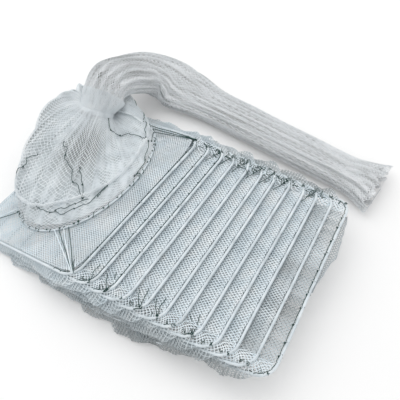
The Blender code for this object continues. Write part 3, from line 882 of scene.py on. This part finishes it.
def cone_surface(turn, up, pleated=1.0):
    """From the hoop's oval to the neck's circle along a cubic with two guides, which billow and bag move out.

    Each point then moves away from the line between the two middles, or towards it, by three sets of pleats.
    """
    neck = STATIONS[0]
    ahead = unit(through(STATIONS, np.array(0.04))[:3] - neck[:3])
    across = unit(np.cross([0.0, 0.0, 1.0], ahead))
    above = np.cross(ahead, across)
    base = on_frame(1, *hoop_line(turn), CONE_START)
    spoke = round_from(across, above, turn - math.pi)
    top = neck[:3] + spoke * (NECK_RADIUS - 0.5 * MM)
    guide = top - ahead * 30 * MM
    middle = on_frame(1, *HOOP_MIDDLE, HOOP_LIFT)
    billow = CONE_BILLOW * facing(turn, CONE_BILLOW_ANGLE)
    pillow = CONE_PILLOW * np.clip(np.cos(turn - CONE_PILLOW_ANGLE), 0, 1)[..., None] ** 2
    low_guide = (base * 2 + guide) / 3 + unit(base - middle) * billow + (billow + pillow) * [0.0, 0.0, 1.0]
    bag = CONE_BAG * facing(turn, CONE_BAG_ANGLE) ** 2
    high_guide = (guide * 2 + top) / 3 + bag * [math.cos(CONE_BAG_ANGLE), math.sin(CONE_BAG_ANGLE), 0.75]
    t = up[..., None]
    points = base * (1 - t) ** 3 + low_guide * 3 * t * (1 - t) ** 2
    points = points + high_guide * 3 * t**2 * (1 - t) + top * t**3
    centre = middle * (1 - t) + neck[:3] * t
    pleat = 0.035 * np.cos(8 * turn) + 0.035 * np.cos(19 * turn + 2 * up) + 0.025 * np.cos(31 * turn + 1)
    depth = pleated * pleat * np.sin(math.pi * np.clip(up, 0, 1)) ** 0.8
    return points + (points - centre) * depth[..., None]


# %% Cone netting and its collar
CONE_THREAD = 0.8 * MM
OPEN_SIDE = math.radians(300)  # where the meshes stand widest open
COLLAR_ON_CONE = np.linspace(0.90, 0.99, 4)
COLLAR_ON_SLEEVE = np.linspace(0.008, 0.075, 9)
COLLAR_CLEAR = 0.9 * MM, 1.0 * MM  # how far the collar stands off the cone and off the sleeve


def spot(turn, up, at_turn, at_up, width, height):
    """1 at one place on the cone, and less the further away, round it and up it."""
    return np.exp((np.cos(turn - at_turn) - 1) / width - ((up - at_up) / height) ** 2)


around = full_turn(246)
around = around + 0.5 * np.sin(around - OPEN_SIDE)  # wider apart on the open side
turn, up = grid_of(around, np.linspace(0, 1, 72) ** 1.05)
# Painted shade greys the threads a little on the open side; the rest is uneven tone, stronger towards the neck.
greys = 0.10 * spot(turn, up, OPEN_SIDE, 0.60, 0.16, 0.22) + (0.06 + 0.20 * up) * soft_wave(turn * 34, 31)
around = full_turn(160)[:, None]
on_cone = cone_surface(around, COLLAR_ON_CONE[None, :])
on_sleeve = sleeve_surface(around - math.pi, COLLAR_ON_SLEEVE[None, :] + 0 * around, -COLLAR_CLEAR[1])
collar = np.concatenate([on_cone, on_sleeve], axis=1)
outward = slopes(collar, closed_rows=True)[2]
collar[:, : len(COLLAR_ON_CONE)] += outward[:, : len(COLLAR_ON_CONE)] * COLLAR_CLEAR[0]
cone = net_object(
    "cone_netting",
    [cone_surface(turn, up), collar],
    CONE_NETTING,
    closed_rows=True,
    shade_and_wear=[greys.clip(0, 1), np.zeros(collar.shape[:2])],
    width=CONE_THREAD,
)

# %% The lining
LINING_DEPTH = 3 * MM
SHADED_SIDE = math.radians(200)

turn, up = grid_of(full_turn(160), np.linspace(0.04, 0.86, 60))
skin = cone_surface(turn, up)
skin = skin - slopes(skin, closed_rows=True)[2] * LINING_DEPTH
lining = mesh_object("cone_inner_layer", skin, grid_quads(*turn.shape, closed_rows=True), CONE_LINING)
add_streaks(lining, turn, up)
# Painted shade: the lining is greyest behind the open meshes and on the shaded side, with uneven tone over all.
greys = 1.15 * spot(turn, up, OPEN_SIDE, 0.62, 0.18, 0.22) + 0.62 * spot(turn, up, SHADED_SIDE, 0.40, 0.4, 0.35)
set_shade_and_wear(lining, (0.06 + greys + 0.16 * soft_wave(turn * 23, 33)).clip(0, 1))

# %% The rolled hem and what the cone is made of
HEM_RADIUS = 2.4 * MM
HEM_LOW_ANGLE = math.radians(325)  # where the hem lies furthest from the hoop

turn = full_turn(260)
low_up = 0.02 + 0.20 * facing(turn, HEM_LOW_ANGLE)[:, 0] ** 0.9 + 0.004 * np.sin(turn * 5)
line = cone_surface(turn, low_up, pleated=0.3) + [0.0, -0.8 * MM, 0.8 * MM]
angle = 2 * math.pi * np.arange(9) / 8
out = unit(line - on_frame(1, *HOOP_MIDDLE, HOOP_LIFT))
over = unit(np.cross(step_along(line, closed=True), out))
radius = (HEM_RADIUS * (1 + 0.25 * np.sin(turn * 23) + 0.15 * np.sin(turn * 41)))[:, None, None]
rolled = line[:, None] + round_from(out[:, None], over[:, None], angle) * radius
hem = net_object("rolled_hem", [rolled], CONE_NETTING, closed_rows=True)
for piece in (cone, lining, hem):
    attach(piece, "tail_end")
    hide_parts("cone_net")
print("cone netted, hem rolled")

# %% [markdown]
# ## Green twine
#
# The twine runs beside the rod and is hitched round it, which holds the netting's edge. As a path it is simple:
# its angle round the rod stands still, except at the hitches, where it makes one quick turn. On the first rods
# and the last it lies in sight. On the others it lies underneath and shows only at the corners, where it is
# wound close and ends in bunches of loops. At some far corners there is one more bunch and a loose end.

# %% Twine as paths, knots and loops
TWINE_RADIUS = 0.48 * MM
THIN_TWINE = TWINE_RADIUS * 0.8
TWINE_CLEAR = TWINE_RADIUS + 0.1 * MM  # from a wire's surface to the middle of the twine
TWINE_SIDES = 6
HITCH_WIDTH = 2 * MM
IN_SIGHT, BELOW = math.radians(152), math.radians(250)


def wound(distance, hitches, start_angle, slack):
    """Angle round the wire, one turn more after each hitch, and slack: a rise and fall between hitches."""
    turns = smoothstep((distance[:, None] - hitches) / HITCH_WIDTH).sum(axis=1)
    place = np.interp(distance, hitches, np.arange(len(hitches)))
    return start_angle + 2 * math.pi * turns, slack * np.sin(math.pi * place) ** 2


def knot_mesh(centre, size, seed):
    """A small closed knot: a curve that winds twice round while it goes three times up and down."""
    random = np.random.default_rng(seed)
    t = full_turn(20)
    reach = 2 + np.cos(3 * t)
    curve = np.stack([reach * np.cos(2 * t), reach * np.sin(2 * t), np.sin(3 * t)], axis=-1)
    turned, _ = np.linalg.qr(random.normal(size=(3, 3)))
    path = centre + curve @ turned * size / 3
    return tube_mesh(path, unit(path - centre), THIN_TWINE, 5, closed=True)


def tangle_mesh(centre, size, seed):
    """A loose bunch of loops: a closed curve of a few random sines in each direction."""
    random = np.random.default_rng(seed)
    t = full_turn(90)
    path = np.zeros((90, 3))
    for term in range(1, 6):
        strength = random.normal(size=(2, 3)) * size / math.sqrt(term) * [1.0, 1.0, 0.5]
        path += round_from(*strength, term * t)
    path = centre + path * 0.45
    keep_above(path, TWINE_RADIUS)
    away = unit(path - centre + [0.3 * MM, 0.2 * MM, 0.9 * MM])
    return tube_mesh(path, away, THIN_TWINE, 5, closed=True)


def strand_mesh(start, end, seed, radius=TWINE_RADIUS, wander=1.5 * MM):
    """A thread from one point to another, a little slack."""
    random = np.random.default_rng(seed)
    t = np.linspace(0, 1, 14)[:, None]
    start, end = np.asarray(start), np.asarray(end)
    side = random.normal(size=3) * wander
    path = start + (end - start) * t + side * np.sin(math.pi * t) + 0.4 * side[::-1] * np.sin(3 * math.pi * t)
    away = unit(np.cross(end - start, [0.3, 0.2, 1.0]))
    return tube_mesh(path, away, radius, TWINE_SIDES)


def path_length(path):
    return np.linalg.norm(np.diff(path, axis=0), axis=1).sum()


# %% Lacing along the rods
LACED_IN_SIGHT = (1, 2, 3, FRAME_COUNT)
GATHERED_CORNERS = (1, 2, 3, 5, 6, 8)  # near corners whose netting is drawn together by long threads
KNOTTED_CORNERS = (3, 4, 5, 6, 7, 8, 10)  # far corners where more twine is left over
CORNER_HITCHES = 13 * MM
NEAR_TAIL, FAR_TAIL = 14 * MM, 44 * MM  # how far the twine goes on down the short sides
BUNCH_NEAR = np.array([2, 6, 6, 3, 7, 5, 6, 7, 6, 5, 5, 3]) * MM
BUNCH_FAR = np.array([6, 7, 6, 7, 8, 7, 8, 8, 8, 7, 7, 4]) * MM


def rod_hitches(number):
    """Pairs of hitches, a little unevenly spaced, along a rod whose twine lies in sight."""
    if number not in LACED_IN_SIGHT:
        return np.zeros(0)
    even = np.arange(-HALF_ROD + 12 * MM, HALF_ROD - 8 * MM, HITCH_SPACING)
    uneven = even + 4 * MM * soft_wave(even * 60, number + 20)
    return np.sort(np.concatenate([uneven, uneven + 1.8 * MM]))


def corner_twine(number, side, size):
    """Bunches of loops at one end of the upper rod, and the threads that run from them."""

    def place(down, inward, lift):
        """So many millimetres from the upper rod, from the short side and off the frame's face."""
        return on_frame(number, FRAME_WIDTH - down * MM, side * (HALF_LENGTH - inward * MM), lift * MM)

    corner = place(6, 7, 2)
    parts = [tangle_mesh(corner, size * 0.5, number * 10 + side)]
    parts.append(tangle_mesh(place(17, 8, 1), size * 0.8, number * 10 + 5 + side))
    if side > 0 and number in KNOTTED_CORNERS:
        parts.append(tangle_mesh(place(10, 16, 2), size, number * 10 + 800))
        parts.append(strand_mesh(corner, place(20, 34, 2), number + 900))
    for strand in range(2 if side < 0 and number in GATHERED_CORNERS else 0):
        inward = place(12 + 12 * strand, 38 - 6 * strand, 1.5)
        parts.append(strand_mesh(corner, inward, number * 10 + strand))
    return parts


twine_lengths = []
for number in range(1, FRAME_COUNT + 1):
    first, last = -HALF_ROD - QUARTER - NEAR_TAIL, HALF_ROD + QUARTER + FAR_TAIL
    on_rod = rod_hitches(number)
    near_hitches = np.arange(first, -HALF_ROD + 4 * MM, CORNER_HITCHES)
    far_hitches = np.arange(HALF_ROD - 4 * MM, last, CORNER_HITCHES)
    distance = np.linspace(first, last, 560)
    start_angle = IN_SIGHT if number in LACED_IN_SIGHT else BELOW
    angle, slack = wound(distance, np.concatenate([near_hitches, on_rod, far_hitches]), start_angle, 0.5 * MM)
    *line, outward = rim(distance)
    path, radial = around_wire(number, line, 0.0, outward, angle, WIRE_RADIUS + TWINE_CLEAR + slack)
    parts = [tube_mesh(path, radial, TWINE_RADIUS, TWINE_SIDES)]
    *line, outward = rim(on_rod)
    knots, _ = around_wire(number, line, 0.0, outward, IN_SIGHT, 3.2 * MM)
    parts += [knot_mesh(knots[each], 1.6 * MM, number * 100 + each) for each in range(0, len(knots), 2)]
    parts += corner_twine(number, -1, BUNCH_NEAR[number - 1]) + corner_twine(number, 1, BUNCH_FAR[number - 1])
    lacing = mesh_object(f"twine_lacing_{number:02d}", *joined(parts), TWINE)
    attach(lacing, body_of(number))
    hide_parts(f"lacing_{number:02d}")
    twine_lengths.append(path_length(path))
print("twine wound on each rod, mm:", [round(length / MM) for length in twine_lengths])

# %% Lacing round the hoop
HOOP_HITCHES = 30
HOOP_TANGLES = ((43, 4.5), (85, 4.0), (10, 4.5), (225, 5.0), (245, 3.5), (316, 2.5))  # degrees, size in mm

place = np.arange(2000) / 2000
hitches = np.arange(HOOP_HITCHES) / HOOP_HITCHES
turns = smoothstep((place[:, None] - hitches) * 60).sum(axis=1)
angle = IN_SIGHT + 2 * math.pi * turns
turn = 2 * math.pi * place
middle = on_frame(1, *hoop_line(turn), HOOP_LIFT)
slack = 0.4 * MM * np.sin(math.pi * place * HOOP_HITCHES) ** 2
reach = HOOP_WIRE_RADIUS + TWINE_CLEAR + slack
path, radial = around_wire(1, hoop_line(turn), HOOP_LIFT, turn, angle, reach)
hoop_parts = [tube_mesh(path, radial, TWINE_RADIUS, TWINE_SIDES, closed=True)]
for hitch in range(HOOP_HITCHES):
    at = middle[int((hitch + 0.02) / HOOP_HITCHES * len(place))]
    hoop_parts.append(knot_mesh(at + [0, 0, 2.2 * MM], 1.5 * MM, 3000 + hitch))
print(f"twine wound on the hoop: {path_length(path) / MM:.0f} mm")

# %% Strings over the cone
CONE_STRINGS = (  # angle round the hoop in degrees and share of the way up, along each string
    ((342, 0.875), (346, 0.79), (351, 0.71), (363, 0.64), (376, 0.54), (390, 0.425), (396, 0.263),
     (400, 0.175)),
    ((104, 0.26), (100, 0.2), (94, 0.22), (88, 0.16), (80, 0.12), (70, 0.14)),
    ((86, 0.06), (74, 0.12), (60, 0.2), (50, 0.19), (41, 0.17)),
    ((120, 0.32), (108, 0.20), (97, 0.12), (84, 0.05), (70, 0.02), (56, 0.03), (43, 0.06)),
    ((262, 0.60), (267, 0.575), (276, 0.525), (292, 0.413), (301, 0.35), (310, 0.288), (316, 0.2)),
    ((303, 0.44), (306, 0.40), (312, 0.312), (316, 0.2)),
    ((222, 0.18), (227, 0.24), (232, 0.30), (231, 0.36), (236, 0.41)),
    ((272, 0.165), (280, 0.163), (288, 0.138), (297, 0.113), (310, 0.138), (328, 0.15), (340, 0.188)),
    ((292, 0.138), (297, 0.163), (310, 0.175), (321, 0.188)),
    ((340, 0.213), (333, 0.163), (331, 0.138)),
    ((367, 0.038), (380, 0.03), (384, 0.038), (392, 0.08), (400, 0.113)),
)
STRING_OFF = [0.3 * MM, -0.5 * MM, 1.2 * MM]  # a string lies so far off the cone, and its knots further
KNOT_OFF = [0.3 * MM, -0.5 * MM, 1.4 * MM]

string_lengths = []
for number, string in enumerate(CONE_STRINGS):
    marks = np.array(string)
    count = len(marks)
    along = np.linspace(0, count - 1, 12 * count)
    string_turn, string_up = (np.interp(along, np.arange(count), marks[:, column]) for column in (0, 1))
    string_turn = np.radians(string_turn) + 0.02 * soft_wave(along * 3, 60 + number)
    path = cone_surface(string_turn, string_up) + STRING_OFF
    path[:, 2] += 0.5 * MM * soft_wave(along * 5, 80 + number)
    hoop_parts.append(tube_mesh(path, unit(path - middle.mean(axis=0)), TWINE_RADIUS, TWINE_SIDES))
    string_lengths.append(path_length(path))
    for mark in marks[::2]:
        at = cone_surface(np.radians(mark[:1]), mark[1:])[0]
        hoop_parts.append(knot_mesh(at + KNOT_OFF, 1.3 * MM, 5000 + 10 * number + int(mark[0])))
for degrees, size in HOOP_TANGLES:
    at = on_frame(1, *hoop_line(np.radians(degrees)), HOOP_LIFT + 3 * MM)
    hoop_parts.append(tangle_mesh(at, size * MM, 6000 + degrees))
hoop_lacing = mesh_object("twine_round_hoop", *joined(hoop_parts), TWINE)
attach(hoop_lacing, "tail_end")
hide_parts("hoop_lacing")
print("strings over the cone, mm:", [round(length / MM) for length in string_lengths])

# %% Ties from the first frame's corners to the hoop
FRAME_TIES = (  # the corner as side of x and of y, where each strand ends round the hoop, in degrees
    (1, -1, (296, 300, 304, 308)),
    (1, 1, (60, 66, 72)),
    (-1, -1, (236, 241)),
)
cords, threads = [], []
for side_x, side_y, ends in FRAME_TIES:
    corner = on_frame(1, FRAME_WIDTH / 2 * (1 + side_x * 0.965), side_y * (HALF_LENGTH - 5 * MM), 3.2 * MM)
    for strand, degrees in enumerate(ends):
        foot = on_frame(1, *hoop_line(np.radians(degrees), 2.4 * MM), HOOP_LIFT + 1.5 * MM)
        spread = np.array([0.6, 0.4, 0.2]) * MM * strand
        white = strand % 2 == 0 and side_y < 0
        radius = (0.9 if white else 0.55) * MM
        made = strand_mesh(corner + spread, foot, 7000 + degrees, radius, wander=0.8 * MM)
        (cords if white else threads).append(made)
for name, parts, finish, slot in (
    ("corner_cords", cords, NETTING, "white_netting"),
    ("corner_threads", threads, TWINE, "green_twine"),
):
    ties = mesh_object(name, *joined(parts), finish)
    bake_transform(ties)
    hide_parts("hoop_lacing")
print("corners tied")

# %% [markdown]
# ## Floor, light and camera
#
# The trap lies on a plain white floor in soft light. The floor is a little brighter to the camera than the
# light alone makes it, so it reads as white paper, and it still takes the trap's shadow.

# %% Floor and light
FLOOR_SIZE = 12.0
FLOOR_GLOW = 0.12
SKY = 0.86


def make_floor():
    """White paper, with a little light of its own that only the camera and reflections see."""
    made, tree, shader = new_material("white paper floor", Base_Color=(0.86, 0.86, 0.86, 1.0), Roughness=0.9)
    glow, nothing = (new_node(tree, "Emission", Strength=strength) for strength in (FLOOR_GLOW, 0.0))
    rays, either = new_node(tree, "LightPath"), new_node(tree, "Math")
    pick, total = new_node(tree, "MixShader"), new_node(tree, "AddShader")
    either.operation = "MAXIMUM"
    for source, target in (
        (rays.outputs["Is Camera Ray"], either.inputs[0]),
        (rays.outputs["Is Glossy Ray"], either.inputs[1]),
        (either.outputs[0], pick.inputs[0]),
        (nothing.outputs[0], pick.inputs[1]),
        (glow.outputs[0], pick.inputs[2]),
        (shader.outputs[0], total.inputs[0]),
        (pick.outputs[0], total.inputs[1]),
        (total.outputs[0], tree.nodes["Material Output"].inputs["Surface"]),
    ):
        tree.links.new(source, target)
    return made


half = FLOOR_SIZE / 2
floor_points = np.array([(-half, -half, 0), (half, -half, 0), (half, half, 0), (-half, half, 0)])
floor = mesh_object("floor", floor_points, np.array([[0, 1, 2, 3]]), make_floor(), smooth=False)
floor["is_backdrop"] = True

world = bpy.data.worlds.new("soft white room")
world.use_nodes = True
set_inputs(world.node_tree.nodes["Background"], Color=(1.0, 1.0, 1.0, 1.0), Strength=SKY)
bpy.context.scene.world = world

WINDOW_PLACE = Vector((-0.6, 0.4, 1.6))
WINDOW_SIZE, WINDOW_POWER = 2.0, 10.0
light = bpy.data.lights.new("window", "AREA")
light.size, light.energy = WINDOW_SIZE, WINDOW_POWER
window = bpy.data.objects.new("window", light)
bpy.context.scene.collection.objects.link(window)
window.location = WINDOW_PLACE
window.rotation_euler = (-WINDOW_PLACE).to_track_quat("-Z", "Y").to_euler()
print("window lit")

# %% Camera
CAMERA_TURN = math.radians(32.2)
CAMERA_HEIGHT = math.radians(53.0)
CAMERA_DISTANCE = 1.109
CAMERA_AIM = Vector((0.021, 0.0057, 0.030))
IMAGE_WIDTH = 400
FOCAL_PIXELS = 700
SENSOR_WIDTH = 36.0  # millimetres

camera = bpy.data.objects.new("camera", bpy.data.cameras.new("camera"))
bpy.context.scene.collection.objects.link(camera)
flat_reach = math.cos(CAMERA_HEIGHT)
towards = Vector(
    (math.sin(CAMERA_TURN) * flat_reach, -math.cos(CAMERA_TURN) * flat_reach, math.sin(CAMERA_HEIGHT))
)
camera.location = CAMERA_AIM + towards * CAMERA_DISTANCE
camera.rotation_euler = (-towards).to_track_quat("-Z", "Y").to_euler()
camera.data.sensor_width = SENSOR_WIDTH
camera.data.lens = SENSOR_WIDTH * FOCAL_PIXELS / IMAGE_WIDTH
bpy.context.scene.camera = camera
bpy.context.scene.view_settings.view_transform = "Standard"
print("camera at", [round(value, 3) for value in camera.location])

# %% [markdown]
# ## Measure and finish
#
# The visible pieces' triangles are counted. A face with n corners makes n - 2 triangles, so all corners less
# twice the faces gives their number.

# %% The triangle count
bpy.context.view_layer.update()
meshes = [thing.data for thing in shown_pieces() if thing.type == "MESH"]
print("triangles:", sum(len(mesh.loops) - 2 * len(mesh.polygons) for mesh in meshes))
